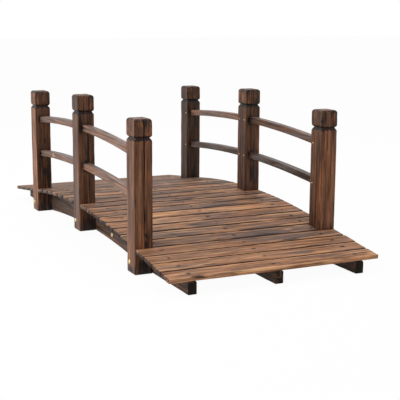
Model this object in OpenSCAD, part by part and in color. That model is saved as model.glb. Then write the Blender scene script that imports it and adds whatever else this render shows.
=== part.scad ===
// Low arched garden footbridge of sawn softwood, with a railing on each side.
// +X runs along the walkway, +Z is up, and the origin is on the ground under the middle of the bridge.

/* [Bridge] */
// Overall length, from one end of the stringers to the other
span_len = 1524; // [1400:2:1800]
// Overall width, which is also the length of a full plank
deck_w = 660; // [560:2:900]
// Height of the walking surface at the middle of the bridge
crown_h = 116; // [105:1:150]
// Half length of the curved part of the deck, before the straight ramps begin
arc_half = 400; // [300:5:470]
// Slope of the straight ramps, in degrees
ramp_angle = 7; // [4:0.5:8]

/* [Stringers] */
// Thickness of a stringer
stringer_t = 26; // [18:1:40]
// Height of the low arch under the stringers
arch_rise = 25.5; // [10:0.5:40]
// Half width of that arch, where it comes down to the ground
arch_half = 455; // [380:5:520]
// How far a stringer's nose reaches past the last plank
stringer_nose = 3; // [0:0.5:12]

/* [Cross ties] */
// Distance of a cross tie from the middle of the bridge
tie_x = 185; // [90:5:320]
// Thickness of a cross tie along the walkway
tie_t = 26; // [18:1:40]
// Height of a cross tie
tie_h = 34; // [20:1:50]

/* [Deck planks] */
// Thickness of a plank
plank_t = 12; // [8:0.5:24]
// Gap between two planks
plank_gap = 3.3; // [1:0.1:8]
// Radius of a plank's upper long edges
plank_edge_r = 2; // [0.5:0.25:4]
// Planks on each ramp, outside the end posts
ramp_planks = 4; // [2:1:6]
// Planks in each bay between two posts
bay_planks = 7; // [4:1:10]

/* [Posts] */
// Width of a post along the walkway
post_x = 60; // [40:1:90]
// Width of a post across the walkway
post_y = 54; // [40:1:90]
// Length of a post
post_len = 443; // [400:1:700]
// Distance between the middle lines of two neighbouring posts
post_pitch = 489; // [440:1:600]
// Radius of a post's long edges
post_edge_r = 2.5; // [1:0.25:6]
// Clearance between a post and the planks beside it
post_clear = 1.2; // [0.5:0.1:4]

/* [Post caps] */
// Height of a cap, from the bottom of its groove to the top
cap_h = 54; // [40:1:80]
// Radius of a cap's edges, above and below
cap_r = 9; // [8:0.5:14]
// Depth of the groove under a cap
groove_d = 5.5; // [2:0.5:8]
// Height of the flat bottom of the groove
groove_flat = 1; // [0.5:0.25:4]
// Height of the sloping shoulder below the groove
shoulder_h = 9; // [4:0.5:16]

/* [Rails] */
// Width of a rail across the walkway
rail_w = 22; // [16:1:34]
// Height of a rail
rail_h = 20; // [14:1:34]
// Radius of a rail's long edges
rail_edge_r = 2.5; // [1:0.25:6]
// Height of the upper rail's top above the foot of the post
upper_rail_h = 348; // [290:1:370]
// Height of the lower rail's top above the foot of the post
lower_rail_h = 224; // [160:1:260]
// Depth of a mortise in the face of a post
mortise_d = 22; // [12:1:28]
// Clearance round a rail in its mortise
mortise_clear = 0.3; // [0.1:0.1:1]

/* [Hidden] */
// Facets of a full circle: many on the wide arcs, few on the edge roundings
arc_fn = 1440;
edge_fn = 32;

// Deck line: an arc over the middle, then tangent ramps, as seen from the side
arc_r = arc_half / sin(ramp_angle);
arc_path = arc_r * ramp_angle * PI / 180;
ramp_top_h = crown_h - arc_r * (1 - cos(ramp_angle));
end_h = ramp_top_h - plank_t / cos(ramp_angle) - (span_len / 2 - arc_half) * tan(ramp_angle);
deck_end_x = span_len / 2 - stringer_nose;
deck_end_s = arc_path + (deck_end_x - arc_half) / cos(ramp_angle);

// Slope, place and distance along the deck line, counted from the middle of the bridge
function slope_at(s) = min(abs(s) / arc_path, 1) * ramp_angle * sign(s);
function line_at(s) =
    let (a = slope_at(s), run = max(abs(s) - arc_path, 0) * sign(s))
    [arc_r * sin(a) + run * cos(a), crown_h - arc_r * (1 - cos(a)) - run * sin(a)];
function path_to(x) =
    x > arc_half ? arc_path + (x - arc_half) / cos(ramp_angle) : arc_r * asin(x / arc_r) * PI / 180;

// Slots that the upright posts need between the sloping planks
slot_tilt = slope_at(path_to(post_pitch));
slot_w = post_x / cos(slot_tilt) + plank_t * tan(slot_tilt) + 2 * post_clear;
slot_s = path_to(post_pitch) + plank_t / 2 * tan(slot_tilt);

// Widths that fill the deck evenly on both sides of the slots
slot_plank_w = slot_w - 2 * plank_gap;
bay_plank_w = (slot_s - slot_w - (bay_planks - 1) * plank_gap) / bay_planks;
ramp_plank_w = (deck_end_s - slot_s - slot_w / 2 - (ramp_planks - 1) * plank_gap) / ramp_planks;

// Planks of one half of the bridge, from the middle outwards:
// distance along the deck line, width, and whether it has the full length
half_planks = concat(
    [for (i = [0 : bay_planks - 1])
        [slot_w / 2 + bay_plank_w / 2 + i * (bay_plank_w + plank_gap), bay_plank_w, true]],
    [[slot_s, slot_plank_w, false]],
    [for (i = [0 : ramp_planks - 1])
        [slot_s + slot_w / 2 + ramp_plank_w / 2 + i * (ramp_plank_w + plank_gap), ramp_plank_w, true]]
);
// All planks, numbered from the rear end to the front end
planks = concat(
    [for (i = [len(half_planks) - 1 : -1 : 0]) [-half_planks[i][0], half_planks[i][1], half_planks[i][2]]],
    [[0, slot_plank_w, false]],
    half_planks
);

// Corner of a plank's seat on the stringers, towards the rear (-1) or the front (1)
function under_at(s) = line_at(s) - plank_t * [sin(slope_at(s)), cos(slope_at(s))];
function seat_corner(i, end) = under_at(planks[i][0] + end * (planks[i][1] + plank_gap) / 2);

// Places across the bridge
post_in_y = deck_w / 2 - post_y;
post_mid_y = deck_w / 2 - post_y / 2;
stringer_mid_y = post_in_y - stringer_t / 2;
short_plank_w = 2 * post_in_y - 2 * post_clear;

// Heights on a post: the bottom of the groove, and the pillow-shaped cap that grows out of it
neck_h = post_len - cap_h;
cap_sink = cap_r - sqrt(pow(cap_r, 2) - pow(cap_r - groove_d, 2));
cap_bottom_h = neck_h + groove_flat - cap_sink;
cap_mid_h = (cap_bottom_h + post_len) / 2;

// Radii of the arch under the stringers and of the rails, which rise with it from post to post
arch_r = (pow(arch_half, 2) + pow(arch_rise, 2)) / (2 * arch_rise);
rail_r = (pow(post_pitch, 2) + pow(arch_rise, 2)) / (2 * arch_rise);
rail_end_x = post_x / 2 - mortise_d + mortise_clear;

// Names of the places along and across the bridge
SIDES = [["left", -1], ["right", 1]];
STATIONS = [["rear", -1], ["middle", 0], ["front", 1]];
BAYS = [["rear", -1], ["front", 1]];
LEVELS = [["upper", upper_rail_h], ["lower", lower_rail_h]];
STRINGERS = [["left", -1], ["centre", 0], ["right", 1]];
function plank_name(i) = str("deck_plank_", i < 9 ? "0" : "", i + 1);

// Outline standing on the X axis, with its two upper corners rounded
module round_top(w, h, r) {
    translate([-w / 2, 0])
        square([w, h - r]);
    translate([-w / 2 + r, 0])
        square([w - 2 * r, h]);
    for (side = [-1, 1])
        translate([side * (w / 2 - r), h - r])
            circle(r = r, $fn = edge_fn);
}

// Rectangle about the origin with all four corners rounded
module round_rect(w, h, r) {
    square([w - 2 * r, h], center = true);
    square([w, h - 2 * r], center = true);
    for (x = [-1, 1], y = [-1, 1])
        translate([x * (w / 2 - r), y * (h / 2 - r)])
            circle(r = r, $fn = edge_fn);
}

// Stringer blank as seen from the side: a flat seat for each plank along the top, and a straight foot line
module under_deck_outline() {
    polygon(concat(
        [[-span_len / 2, 0], [-span_len / 2, end_h]],
        [for (i = [0 : len(planks) - 2]) seat_corner(i, 1)],
        [[span_len / 2, end_h], [span_len / 2, 0]]
    ));
}

module stringer(side) {
    color("#3a2a20")
        translate([0, side * stringer_mid_y + stringer_t / 2, 0])
            rotate([90, 0, 0])
                linear_extrude(stringer_t)
                    difference() {
                        under_deck_outline();
                        translate([0, arch_rise - arch_r])
                            circle(r = arch_r, $fn = arc_fn);
                    }
}

module cross_tie(bay) {
    tie_len = stringer_mid_y - stringer_t;
    color("#33251c")
        for (side = [-1, 1])
            translate([bay * tie_x - tie_t / 2, side * stringer_mid_y / 2 - tie_len / 2, arch_rise])
                cube([tie_t, tie_len, tie_h]);
}

// Face of a post: a shaft with sloping shoulders, a neck, and a cap rounded above and below
module post_outline(w) {
    neck_x = w / 2 - groove_d;
    polygon([[-w / 2, 0], [w / 2, 0], [w / 2, neck_h - shoulder_h], [neck_x, neck_h], [neck_x, cap_mid_h],
        [-neck_x, cap_mid_h], [-neck_x, neck_h], [-w / 2, neck_h - shoulder_h]]);
    translate([0, cap_mid_h])
        round_rect(w, post_len - cap_bottom_h, cap_r);
}

module post_blank() {
    intersection() {
        translate([0, post_y / 2, 0])
            rotate([90, 0, 0])
                linear_extrude(post_y)
                    post_outline(post_x);
        translate([-post_x / 2, 0, 0])
            rotate([90, 0, 90])
                linear_extrude(post_x)
                    post_outline(post_y);
        linear_extrude(post_len)
            round_rect(post_x, post_y, post_edge_r);
    }
}

// Bar along the rails' arc, between two distances from the middle of the bridge
module rail_bar(top_h, x_from, x_to, grow) {
    angle_from = asin(x_from / rail_r);
    angle_to = asin(x_to / rail_r);
    translate([0, 0, arch_rise + top_h - rail_r])
        rotate([90, 0, 0])
            rotate([0, 0, 90 - angle_to])
                rotate_extrude(angle = angle_to - angle_from, $fn = arc_fn)
                    translate([rail_r - rail_h / 2, 0])
                        round_rect(rail_h + 2 * grow, rail_w + 2 * grow, rail_edge_r + grow);
}

module rail(side, bay, top_h) {
    color("#6e5648")
        translate([0, side * post_mid_y, 0])
            rotate([0, 0, bay > 0 ? 0 : 180])
                rail_bar(top_h, rail_end_x, post_pitch - rail_end_x, 0);
}

module post(side, station) {
    mouth_x = post_x / 2 - mortise_d;
    color("#4a3428")
        translate([0, side * post_mid_y, 0])
            difference() {
                translate([station * post_pitch, 0, arch_rise * (1 - abs(station))])
                    post_blank();
                for (bay = [-1, 1], level = LEVELS)
                    if (station != -bay)
                        rotate([0, 0, bay > 0 ? 0 : 180])
                            rail_bar(level[1], mouth_x, post_pitch - mouth_x, mortise_clear);
            }
}

module deck_plank(i) {
    rear = seat_corner(i, -1);
    front = seat_corner(i, 1);
    middle = (rear + front) / 2;
    tilt = atan2(rear[1] - front[1], front[0] - rear[0]);
    plank_len = planks[i][2] ? deck_w : short_plank_w;
    color("#a07a62")
        translate([middle[0], plank_len / 2, middle[1]])
            rotate([0, tilt, 0])
                rotate([90, 0, 0])
                    linear_extrude(plank_len)
                        round_top(planks[i][1], plank_t, plank_edge_r);
}

for (s = STRINGERS)
    stringer(s[1]);
for (b = BAYS)
    cross_tie(b[1]);
for (s = SIDES, p = STATIONS)
    post(s[1], p[1]);
for (l = LEVELS, s = SIDES, b = BAYS)
    rail(s[1], b[1], l[1]);
for (i = [0 : len(planks) - 1])
    deck_plank(i);
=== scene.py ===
import math
import random

import bmesh
import bpy
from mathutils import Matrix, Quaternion, Vector, noise


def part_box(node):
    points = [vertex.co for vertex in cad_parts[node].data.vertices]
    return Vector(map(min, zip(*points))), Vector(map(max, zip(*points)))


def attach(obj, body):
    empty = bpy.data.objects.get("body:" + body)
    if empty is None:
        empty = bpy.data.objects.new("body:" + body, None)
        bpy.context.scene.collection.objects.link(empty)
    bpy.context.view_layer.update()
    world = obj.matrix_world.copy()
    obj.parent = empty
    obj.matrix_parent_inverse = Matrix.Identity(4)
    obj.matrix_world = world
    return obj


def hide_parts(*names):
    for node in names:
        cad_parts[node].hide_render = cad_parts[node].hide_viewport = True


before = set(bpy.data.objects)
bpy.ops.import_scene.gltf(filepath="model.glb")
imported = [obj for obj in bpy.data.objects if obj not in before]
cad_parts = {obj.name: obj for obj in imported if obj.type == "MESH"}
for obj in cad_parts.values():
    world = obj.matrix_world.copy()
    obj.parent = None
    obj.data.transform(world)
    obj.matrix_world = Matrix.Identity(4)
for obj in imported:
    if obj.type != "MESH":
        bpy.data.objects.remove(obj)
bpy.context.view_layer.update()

mm = 0.001
colourA, colourB, colourOut = 6, 7, 2  # socket numbers of a colour Mix node


def linear(hexText):  # sRGB hex to the linear colour that a socket takes
    shares = [int(hexText[i:i + 2], 16) / 255 for i in (1, 3, 5)]
    return [s / 12.92 if s <= 0.04045 else ((s + 0.055) / 1.055) ** 2.4 for s in shares] + [1.0]


def addNode(tree, kind, inputs=None, **settings):  # one node with its settings and links
    node = tree.nodes.new(kind)
    for name, value in settings.items():
        setattr(node, name, value)
    for key, value in (inputs or {}).items():
        if isinstance(value, bpy.types.NodeSocket):
            tree.links.new(value, node.inputs[key])
        else:
            node.inputs[key].default_value = value
    return node


def smooth(value, low, high):  # 0 below low, 1 above high, eased between
    share = min(max((value - low) / (high - low), 0.0), 1.0)
    return share * share * (3 - 2 * share)


# camera, as the photograph was taken

cameraLooks = {
    "place": (3.0424, -1.3181, 0.7464),  # m
    "yaw": 25.242,  # degrees from -X towards +Y
    "pitch": 11.047,  # degrees downwards
    "roll": 0.306,
    "focal": 988.5,  # pixels of the 400-pixel image
    "image": 400,
    "sensor": 36.0,  # mm
}


def setCamera(looks):
    yaw, pitch = math.radians(looks["yaw"]), math.radians(looks["pitch"])
    ahead = Vector((-math.cos(yaw) * math.cos(pitch), math.sin(yaw) * math.cos(pitch), -math.sin(pitch)))
    camera = bpy.data.objects.new("camera", bpy.data.cameras.new("camera"))
    camera.data.sensor_width = looks["sensor"]
    camera.data.lens = looks["sensor"] * looks["focal"] / looks["image"]
    camera.location = looks["place"]
    camera.rotation_mode = "QUATERNION"
    camera.rotation_quaternion = (
        ahead.to_track_quat("-Z", "Y") @ Quaternion((0, 0, 1), math.radians(looks["roll"])))
    bpy.context.scene.collection.objects.link(camera)
    bpy.context.scene.camera = camera


setCamera(cameraLooks)
print("camera set")


# stage: white floor and surroundings, soft light

stageLooks = {
    "white": "#ffffff",
    "floor": "#f2f2f0",
    "floorHalf": 20.0,  # m
    "floorShine": 0.96,  # share of plain white in what the camera sees of the floor
    "ambient": 0.55,  # light from all round, as a share of white
    # lamp: place, what it points at, size in m, what it adds on a white face turned to it
    "lamps": {
        "keyLeft": ((0.6, -3.2, 1.9), (0.0, 0.0, 0.2), 2.2, 0.42),
        "topSoft": ((-0.6, 0.0, 3.2), (0.0, 0.0, 0.1), 3.0, 0.40),
    },
}


def newMaterial(name):  # material with an empty tree
    material = bpy.data.materials.new(name)
    material.use_nodes = True
    material.node_tree.nodes.clear()
    return material, material.node_tree


def seenRays(tree):  # 1 for what the camera sees, straight or mirrored
    rays = addNode(tree, "ShaderNodeLightPath").outputs
    mirrored = addNode(tree, "ShaderNodeMath", {0: rays["Is Camera Ray"], 1: rays["Is Glossy Ray"]},
                       operation="MAXIMUM")
    return addNode(tree, "ShaderNodeMath", {0: mirrored.outputs[0], 1: rays["Is Transmission Ray"]},
                   operation="MAXIMUM").outputs[0]


def setStage(looks):
    world = bpy.data.worlds.new("studioWhite")
    world.use_nodes = True
    tree = world.node_tree
    tree.nodes.clear()
    strength = addNode(tree, "ShaderNodeMapRange", {"Value": seenRays(tree), "To Min": looks["ambient"]})
    sky = addNode(tree, "ShaderNodeBackground",
                  {"Color": linear(looks["white"]), "Strength": strength.outputs[0]})
    addNode(tree, "ShaderNodeOutputWorld", {"Surface": sky.outputs[0]})
    bpy.context.scene.world = world

    paper, tree = newMaterial("whiteStudioPaper")  # matt, shows only a soft shadow
    shine = addNode(tree, "ShaderNodeMath", {0: seenRays(tree), 1: looks["floorShine"]}, operation="MULTIPLY")
    matt = addNode(tree, "ShaderNodeBsdfDiffuse", {"Color": linear(looks["floor"])})
    glow = addNode(tree, "ShaderNodeEmission", {"Color": linear(looks["white"]), "Strength": 1.0})
    both = addNode(tree, "ShaderNodeMixShader", {0: shine.outputs[0], 1: matt.outputs[0], 2: glow.outputs[0]})
    addNode(tree, "ShaderNodeOutputMaterial", {"Surface": both.outputs[0]})

    half = looks["floorHalf"]
    spots = [(-half, -half, 0), (half, -half, 0), (half, half, 0), (-half, half, 0)]
    mesh = bpy.data.meshes.new("floor")
    mesh.from_pydata(spots, [], [(0, 1, 2, 3)])
    mesh.materials.append(paper)
    floor = bpy.data.objects.new("floor", mesh)
    bpy.context.scene.collection.objects.link(floor)

    for name, (place, target, size, adds) in looks["lamps"].items():
        lamp = bpy.data.objects.new(name, bpy.data.lights.new(name, "AREA"))
        away = Vector(target) - Vector(place)
        lamp.data.shape = "SQUARE"
        lamp.data.size = size
        lamp.data.energy = adds * (math.pi * away.length) ** 2  # shows as that share on a white face
        lamp.location = place
        lamp.rotation_mode = "QUATERNION"
        lamp.rotation_quaternion = away.to_track_quat("-Z", "Y")
        lamp.visible_camera = False
        bpy.context.scene.collection.objects.link(lamp)
    bpy.context.scene.view_settings.view_transform = "Standard"


setStage(stageLooks)
print("stage and lamps set")


# materials

# fir, sawn, flamed and stained brown: soft wood burnt away between harder rings gives long fine streaks,
# soot stays in hollows and on edges, and a thin oil finish greys where light grazes it
timberLooks = {
    # layer: width across and length along the grain in mm, detail, distortion
    "layers": {
        "ring": (9.0, 420.0, 5.0, 0.5),
        "fibre": (3.0, 90.0, 2.0, 0.0),  # real fibres are finer, drawn as coarse as the render can show
        "patch": (60.0, 190.0, 2.0, 0.0),
        "grey": (15.0, 190.0, 4.0, 0.4),
        "soot": (8.0, 110.0, 4.0, 0.5),
        "check": (12.0, 320.0, 1.0, 0.3),
    },
    "layerRoughness": 0.66,
    "layerSpan": (0.3, 0.7),  # what a layer mostly lies between
    "fibreSpan": (0.25, 0.75),
    "seedShift": (0.31, 0.53, 0.17),  # m, how far apart in the log two pieces are cut
    "markWeight": 0.32,  # how far a full mark lifts its layer
    "greyAndPaintedLightMost": 0.75,
    "wearFrom": (0.58, 0.86),
    "wearAndHighlightMost": 0.85,
    "sootAndShadeMost": 0.93,
    "warmFrom": (0.47, 0.30),
    "checkMiddle": 0.5,
    "hairWidth": 0.03,
    "ior": 1.46,
    "bump": 0.5,  # mm
    "bumpFibre": 0.6,  # what fibres add to the relief of the rings, and what soot and painted shade take away
    "bumpSootAndShade": -0.3,
}
# stains: layers that differ from those above, colours of the rings, tints, where in its layer a mark starts
# and is full, how dark and light fibres and patches are, how dark a drying check is, roughness and gloss
deckStain = {
    "layers": {
        "ring": (7.0, 250.0, 5.0, 0.35),
        "patch": (30.0, 130.0, 3.0, 0.2),
        "grey": (11.0, 140.0, 4.0, 0.3),
        "soot": (7.0, 130.0, 4.0, 0.3),
    },
    "ramp": ((0.35, "#69442f"), (0.44, "#8f6349"), (0.54, "#ac7d5d"), (0.64, "#cb9973")),
    "warmTint": "#bd8355",
    "warmth": 0.5,
    # the rubbed, grey and soot tints also paint the highlight on the rear arrises, the sheen on the far
    # boards and the shade in the gaps
    "wearTint": "#dfac7d",
    "greyAndPaintedLightTint": "#5c5351",
    "sootAndShadeTint": "#201a1b",
    "greyAndPaintedLightFrom": (0.54, 0.76),
    "sootAndShadeFrom": (0.64, 0.82),
    "fibre": (0.74, 1.26),
    "patchSpan": (0.64, 1.34),
    "hair": 0.7,
    "rough": (0.48, 0.66),
    "gloss": 0.14,
}
postStain = {
    "layers": {"ring": (9.0, 230.0, 5.0, 0.8), "patch": (26.0, 150.0, 3.0, 0.5)},
    "ramp": ((0.35, "#3f281b"), (0.45, "#573725"), (0.54, "#6f4831"), (0.65, "#8a5d40")),
    "warmTint": "#875230",
    "warmth": 0.42,
    # the rubbed and soot tints also paint the highlight on the arrises and the shade at the feet
    "wearTint": "#a66c42",
    "greyAndPaintedLightTint": "#62554e",
    "sootAndShadeTint": "#161213",
    "greyAndPaintedLightFrom": (0.58, 0.82),
    "sootAndShadeFrom": (0.62, 0.80),
    "fibre": (0.66, 1.32),
    "patchSpan": (0.66, 1.30),
    "hair": 0.45,
    "rough": (0.36, 0.52),
    "gloss": 0.22,
}
railStain = {
    "layers": {"patch": (40.0, 150.0, 3.0, 0.3)},
    "ramp": ((0.36, "#452f24"), (0.45, "#694a3a"), (0.54, "#866250"), (0.65, "#a47a60")),
    "warmTint": "#96643f",
    "warmth": 0.45,
    "wearTint": "#bd8b5c",
    # the grey tint also paints the shade on the rails' tops
    "greyAndPaintedLightTint": "#6f6461",
    "sootAndShadeTint": "#1d1817",
    "greyAndPaintedLightFrom": (0.46, 0.70),
    "sootAndShadeFrom": (0.62, 0.80),
    "fibre": (0.70, 1.26),
    "patchSpan": (0.76, 1.20),
    "hair": 0.5,
    "rough": (0.36, 0.52),
    "gloss": 0.22,
}
stringerStain = {
    "layers": {"patch": (50.0, 170.0, 3.0, 0.3)},
    "ramp": ((0.36, "#291a13"), (0.45, "#452d20"), (0.54, "#5f402d"), (0.65, "#805236")),
    "warmTint": "#7a4a28",
    "warmth": 0.5,
    "wearTint": "#a8794c",
    "greyAndPaintedLightTint": "#5f544e",
    "sootAndShadeTint": "#0f0c0b",
    "greyAndPaintedLightFrom": (0.54, 0.78),
    "sootAndShadeFrom": (0.58, 0.76),
    "fibre": (0.70, 1.26),
    "patchSpan": (0.72, 1.22),
    "hair": 0.5,
    "rough": (0.45, 0.62),
    "gloss": 0.10,
}


def flamedFir(name, grain, looks):  # grain: 0, 1 or 2 for X, Y or Z
    material, tree = newMaterial(name)
    coords = addNode(tree, "ShaderNodeTexCoord")
    seed = addNode(tree, "ShaderNodeAttribute", attribute_name="pieceSeed")
    spot = addNode(tree, "ShaderNodeVectorMath",  # each piece is cut from another place in the log
                   {0: seed.outputs["Vector"], 1: timberLooks["seedShift"], 2: coords.outputs["Object"]},
                   operation="MULTIPLY_ADD")
    layer = {}
    for part, (across, along, detail, twist) in (timberLooks["layers"] | looks["layers"]).items():
        scale = [1 / (across * mm)] * 3
        scale[grain] = 1 / (along * mm)
        stretched = addNode(tree, "ShaderNodeVectorMath", {0: spot.outputs[0], 1: scale},
                            operation="MULTIPLY")
        streaks = addNode(tree, "ShaderNodeTexNoise",
                          {"Vector": stretched.outputs[0], "Scale": 1.0, "Detail": detail,
                           "Roughness": timberLooks["layerRoughness"], "Distortion": twist})
        layer[part] = streaks.outputs["Fac"]
    finish = addNode(tree, "ShaderNodeAttribute", attribute_name="finish")
    marks = addNode(tree, "ShaderNodeSeparateColor", {"Color": finish.outputs["Color"]}).outputs
    # tone; on the posts it also holds painted light and shade face by face
    tone = finish.outputs["Alpha"]

    ramp = addNode(tree, "ShaderNodeValToRGB", {"Fac": layer["ring"]})
    stops = ramp.color_ramp.elements
    while len(stops) < len(looks["ramp"]):
        stops.new(0.5)
    for stop, (place, tint) in zip(stops, looks["ramp"]):
        stop.position = place
        stop.color = linear(tint)
    spread = {}
    for use, part, source, target in (
            ("warm", "grey", timberLooks["warmFrom"], (0.0, looks["warmth"])),  # orange where stain took well
            ("fibre", "fibre", timberLooks["fibreSpan"], looks["fibre"]),
            ("patch", "patch", timberLooks["layerSpan"], looks["patchSpan"]),
            ("rough", "ring", timberLooks["layerSpan"], looks["rough"][::-1])):
        spread[use] = addNode(tree, "ShaderNodeMapRange",
                              {"Value": layer[part], "From Min": source[0], "From Max": source[1],
                               "To Min": target[0], "To Max": target[1]}).outputs[0]
    stained = addNode(tree, "ShaderNodeMix",
                      {0: spread["warm"], colourA: ramp.outputs["Color"], colourB: linear(looks["warmTint"])},
                      data_type="RGBA")
    shade = addNode(tree, "ShaderNodeMath", {0: spread["fibre"], 1: spread["patch"]}, operation="MULTIPLY")
    level = addNode(tree, "ShaderNodeMath", {0: shade.outputs[0], 1: tone}, operation="MULTIPLY")
    wood = addNode(tree, "ShaderNodeVectorMath", {0: stained.outputs[colourOut], "Scale": level.outputs[0]},
                   operation="SCALE")

    # grey film, soot and rubbed edges, which also carry painted sheen, shade and highlights: marks broken up
    # along the grain
    colour = wood.outputs[0]
    for mark, part, span, tint, most in (
            ("Green", "grey", looks["greyAndPaintedLightFrom"], looks["greyAndPaintedLightTint"], timberLooks["greyAndPaintedLightMost"]),
            ("Blue", "fibre", timberLooks["wearFrom"], looks["wearTint"], timberLooks["wearAndHighlightMost"]),
            ("Red", "soot", looks["sootAndShadeFrom"], looks["sootAndShadeTint"], timberLooks["sootAndShadeMost"])):
        summed = addNode(tree, "ShaderNodeMath",
                         {0: marks[mark], 1: timberLooks["markWeight"], 2: layer[part]},
                         operation="MULTIPLY_ADD")
        share = addNode(tree, "ShaderNodeMapRange",
                        {"Value": summed.outputs[0], "From Min": span[0], "From Max": span[1],
                         "To Max": most}, interpolation_type="SMOOTHSTEP")
        colour = addNode(tree, "ShaderNodeMix",
                         {0: share.outputs[0], colourA: colour, colourB: linear(tint)},
                         data_type="RGBA").outputs[colourOut]
    sootAndShadeShare = share.outputs[0]  # soot and painted shade come last

    # hairline drying checks: thin dark lines where the check layer crosses its middle
    centred = addNode(tree, "ShaderNodeMath", {0: layer["check"], 1: timberLooks["checkMiddle"]},
                      operation="SUBTRACT")
    away = addNode(tree, "ShaderNodeMath", {0: centred.outputs[0]}, operation="ABSOLUTE")
    hair = addNode(tree, "ShaderNodeMapRange",
                   {"Value": away.outputs[0], "From Min": 0.0, "From Max": timberLooks["hairWidth"],
                    "To Min": looks["hair"], "To Max": 1.0})
    lined = addNode(tree, "ShaderNodeVectorMath", {0: colour, "Scale": hair.outputs[0]}, operation="SCALE")

    height = addNode(tree, "ShaderNodeMath",
                     {0: layer["fibre"], 1: timberLooks["bumpFibre"], 2: layer["ring"]},
                     operation="MULTIPLY_ADD")
    carved = addNode(tree, "ShaderNodeMath",
                     {0: sootAndShadeShare, 1: timberLooks["bumpSootAndShade"], 2: height.outputs[0]},
                     operation="MULTIPLY_ADD")
    relief = addNode(tree, "ShaderNodeBump",
                     {"Height": carved.outputs[0], "Strength": 1.0, "Distance": timberLooks["bump"] * mm})
    surface = addNode(tree, "ShaderNodeBsdfPrincipled",
                      {"Base Color": lined.outputs[0], "Roughness": spread["rough"],
                       "IOR": timberLooks["ior"], "Specular IOR Level": looks["gloss"],
                       "Normal": relief.outputs[0]})
    addNode(tree, "ShaderNodeOutputMaterial", {"Surface": surface.outputs[0]})
    return material


deckFir = flamedFir("firBoardFlamedStained", 1, deckStain)
postFir = flamedFir("firPostFlamedStained", 2, postStain)
railFir = flamedFir("firRailFlamedGreyed", 0, railStain)
stringerFir = flamedFir("firStringerFlamedDark", 0, stringerStain)
tieFir = flamedFir("firTieFlamedDark", 1, stringerStain)

metalLooks = {
    "cloud": 4.0,  # mm
    "cloudDetail": 2.0,
    "stainSpan": (0.4, 0.7),  # of the cloud, from plain to stained
    "filmSpan": (0.3, 0.7),
    "filmDrift": 0.08,  # how far the film takes roughness up and down
}


def fastenerMetal(name, tint, stain, metallic, rough):  # plated or oxidised, cloudy where the film varies
    material, tree = newMaterial(name)
    coords = addNode(tree, "ShaderNodeTexCoord")
    cloud = addNode(tree, "ShaderNodeTexNoise",
                    {"Vector": coords.outputs["Object"], "Scale": 1 / (metalLooks["cloud"] * mm),
                     "Detail": metalLooks["cloudDetail"]})
    share = addNode(tree, "ShaderNodeMapRange",
                    {"Value": cloud.outputs["Fac"], "From Min": metalLooks["stainSpan"][0],
                     "From Max": metalLooks["stainSpan"][1]})
    colour = addNode(tree, "ShaderNodeMix",
                     {0: share.outputs[0], colourA: linear(tint), colourB: linear(stain)}, data_type="RGBA")
    film = addNode(tree, "ShaderNodeMapRange",
                   {"Value": cloud.outputs["Fac"], "From Min": metalLooks["filmSpan"][0],
                    "From Max": metalLooks["filmSpan"][1],
                    "To Min": rough - metalLooks["filmDrift"], "To Max": rough + metalLooks["filmDrift"]})
    surface = addNode(tree, "ShaderNodeBsdfPrincipled",
                      {"Base Color": colour.outputs[colourOut], "Metallic": metallic,
                       "Roughness": film.outputs[0]})
    addNode(tree, "ShaderNodeOutputMaterial", {"Surface": surface.outputs[0]})
    return material


platedSteel = fastenerMetal("steelYellowZincPlated", "#e2cf9c", "#b89a5c", 1.0, 0.34)  # bright, faintly gold
nailSteel = fastenerMetal("steelNailOxidised", "#2b211d", "#45362d", 0.6, 0.55)  # near black, dull
print("materials made")


# geometry trees

def newTree(name, sockets):  # tree with named inputs, and where its nodes start
    tree = bpy.data.node_groups.new(name, "GeometryNodeTree")
    for label, kind in sockets:
        tree.interface.new_socket(label, in_out="INPUT", socket_type=kind)
    tree.interface.new_socket("Geometry", in_out="OUTPUT", socket_type="NodeSocketGeometry")
    return tree, addNode(tree, "NodeGroupInput").outputs


def endTree(tree, geometry, material):  # instances realized, material set
    real = addNode(tree, "GeometryNodeRealizeInstances", {"Geometry": geometry})
    dressed = addNode(tree, "GeometryNodeSetMaterial", {"Geometry": real.outputs[0], "Material": material})
    addNode(tree, "NodeGroupOutput", {0: dressed.outputs[0]})


def grownMesh(name, tree, values, base):  # plain mesh that the tree makes from the base mesh
    maker = bpy.data.objects.new(name, base)
    bpy.context.scene.collection.objects.link(maker)
    modifier = maker.modifiers.new("tree", "NODES")
    modifier.node_group = tree
    for item in tree.interface.items_tree:
        if item.in_out == "INPUT" and item.name in values:
            modifier[item.identifier] = values[item.name]
    graph = bpy.context.evaluated_depsgraph_get()
    mesh = bpy.data.meshes.new_from_object(maker.evaluated_get(graph))
    maker.modifiers.remove(modifier)
    bpy.data.objects.remove(maker)
    mesh.name = name
    return mesh


treeLooks = {
    "crowding": 1.35,  # power that draws the rings of points together at the ends
    "cornerPoints": 3,
    "wearSide": 6.0,  # mm of edge that wear reaches across, and then down
    "wearDown": 5.0,
    "wearLength": 32.0,  # mm between worn places
    "grainLength": 160.0,  # mm
    "grainWidth": 4.6,  # mm
    "grainDetail": 1.5,
    "hollowSpan": (0.28, 0.72),  # of the grain's pattern, from a ridge to a hollow
    "biteSpan": (0.38, 0.72),  # of the wear's pattern, from a whole edge to a worn one
    "endDrop": 0.35,  # share of the corner radius that the top and bottom lose at an end
}


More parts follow.
